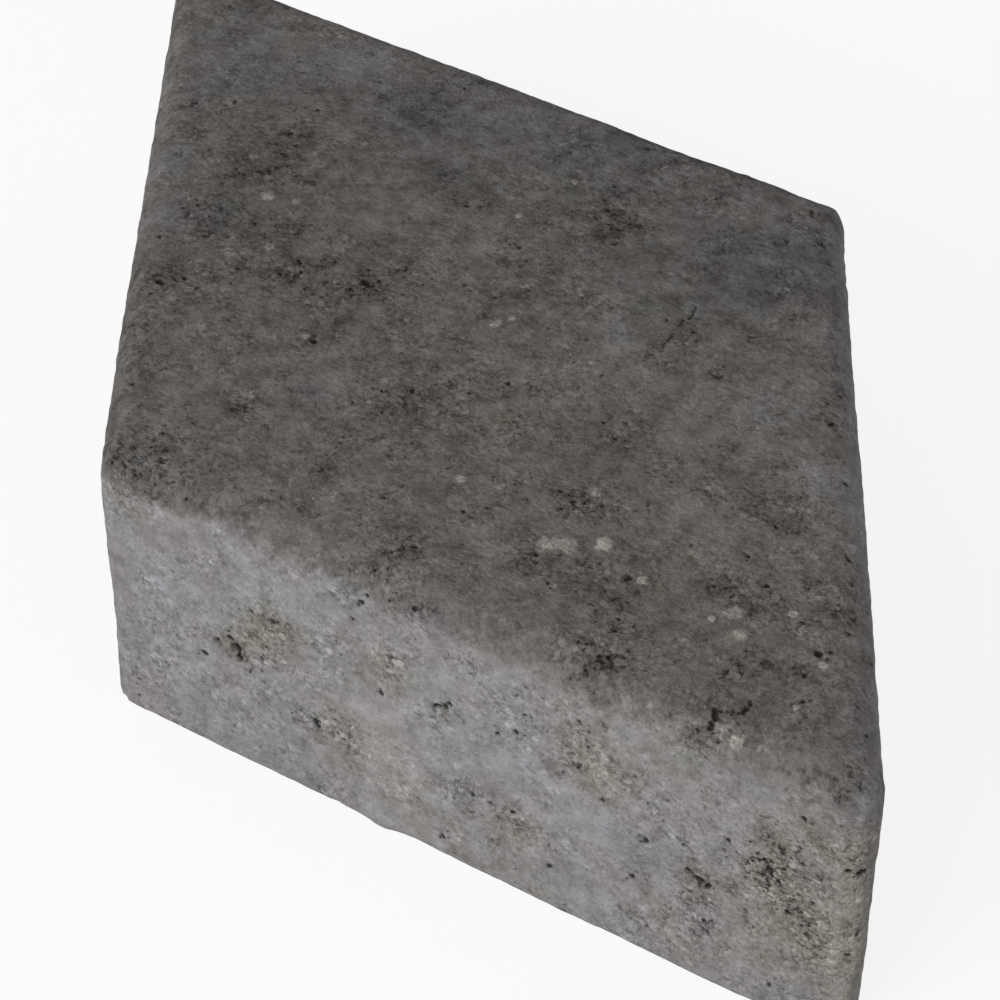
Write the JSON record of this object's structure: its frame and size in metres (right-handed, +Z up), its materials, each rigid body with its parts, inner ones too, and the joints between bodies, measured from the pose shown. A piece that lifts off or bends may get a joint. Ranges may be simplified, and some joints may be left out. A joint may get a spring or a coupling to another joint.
{
  "type": "concrete paver",
  "caption": "Diamond-shaped paving block of pressed concrete, a rhombus in plan with 60 degree sharp corners, upright sides, a flat bed and a rounded rim round its wearing face.",
  "frame": {"origin": "middle of the flat bed face, which is also the middle of the plan", "axes": "+Z up through the wearing face, +X along the front side, which faces -Y"},
  "size_m": [0.2206, 0.1316, 0.06],
  "materials": {
    "concrete": "rough, sandy, with small pits and pale chips of aggregate"
  },
  "bodies": {
    "root": {"paver": "concrete"}
  },
  "joints": []
}
